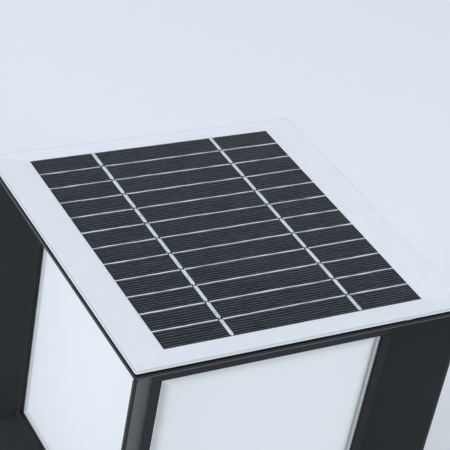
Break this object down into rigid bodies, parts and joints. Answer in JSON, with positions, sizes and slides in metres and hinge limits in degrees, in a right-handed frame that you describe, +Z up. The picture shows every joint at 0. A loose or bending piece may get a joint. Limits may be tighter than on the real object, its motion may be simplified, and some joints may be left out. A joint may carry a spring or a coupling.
{
  "type": "solar pillar lamp",
  "caption": "Cube-shaped solar pillar lamp with a photovoltaic lid, coffered frame with finned corner posts, opal diffusers, battery base and a push switch underneath.",
  "frame": {"origin": "centre of the underside, on the surface that the lamp stands on", "axes": "+Z up to the solar panel, -Y the front, +X to the right seen from the front"},
  "size_m": [0.2, 0.2, 0.2144],
  "materials": {
    "panel_glass": "clear, very light satin surface",
    "silicon_cell": "dark grey silicon with fine printed fingers, under glass",
    "tinned_ribbon": "tinned copper ribbon, satin",
    "white_backsheet": "white laminated sheet, satin",
    "black_rubber": "matt black rubber",
    "powder_coated_frame": "dark grey fine-textured powder coat, satin",
    "opal_diffuser": "opal acrylic, satin",
    "white_reflector": "white coated aluminium sheet",
    "led_board_white": "white solder mask on an aluminium board",
    "circuit_board": "green solder mask with parts",
    "zinc_plate": "zinc plated steel",
    "stainless_screw": "stainless steel",
    "black_plastic": "black moulded nylon, fine texture",
    "button_plastic": "red moulded cap, satin",
    "battery_wrap": "blue heat-shrink wrap",
    "lead_jacket": "black cable jacket"
  },
  "bodies": {
    "lamp": {"panel_glass": "panel_glass", "cell_strip_01": "silicon_cell", "cell_strip_02": "silicon_cell", "cell_strip_03": "silicon_cell", "cell_strip_04": "silicon_cell", "cell_strip_05": "silicon_cell", "cell_strip_06": "silicon_cell", "cell_strip_07": "silicon_cell", "cell_strip_08": "silicon_cell", "cell_strip_09": "silicon_cell", "cell_strip_10": "silicon_cell", "cell_strip_11": "silicon_cell", "cell_strip_12": "silicon_cell", "busbar_ribbon_left": "tinned_ribbon", "busbar_ribbon_right": "tinned_ribbon", "panel_backsheet": "white_backsheet", "panel_gasket": "black_rubber", "junction_box": "black_plastic", "top_frame": "powder_coated_frame", "corner_post_front_left": "powder_coated_frame", "corner_post_front_right": "powder_coated_frame", "corner_post_back_left": "powder_coated_frame", "corner_post_back_right": "powder_coated_frame", "tie_rod_front_left": "stainless_screw", "tie_rod_front_right": "stainless_screw", "tie_rod_back_left": "stainless_screw", "tie_rod_back_right": "stainless_screw", "diffuser_front": "opal_diffuser", "diffuser_right": "opal_diffuser", "diffuser_back": "opal_diffuser", "diffuser_left": "opal_diffuser", "ceiling_reflector": "white_reflector", "led_floor_plate": "white_reflector", "led_board": "led_board_white", "base_frame": "powder_coated_frame", "cover_gasket": "black_rubber", "bottom_cover": "black_plastic", "cover_screw_front_left": "stainless_screw", "cover_screw_front_right": "stainless_screw", "cover_screw_back_left": "stainless_screw", "cover_screw_back_right": "stainless_screw", "mounting_plate": "zinc_plate", "lock_screw_left": "stainless_screw", "lock_screw_right": "stainless_screw", "switch_body": "black_plastic", "switch_nut": "stainless_screw", "button_spring": "stainless_screw", "vent_plug": "black_plastic", "battery_holder": "black_plastic", "battery_cell_1": "battery_wrap", "battery_cell_2": "battery_wrap", "battery_cell_3": "battery_wrap", "battery_cell_4": "battery_wrap", "controller_board": "circuit_board", "panel_lead": "lead_jacket", "battery_lead": "lead_jacket", "led_lead": "lead_jacket", "switch_lead": "lead_jacket"},
    "button": {"button_cap": "button_plastic"}
  },
  "joints": [
    {"name": "button_press", "type": "slide", "parent": "lamp", "child": "button", "axis": [0, 0, 1], "range_m": [0, 0.002], "stiffness_N_per_m": 300, "deforming": ["button_spring"]}
  ]
}
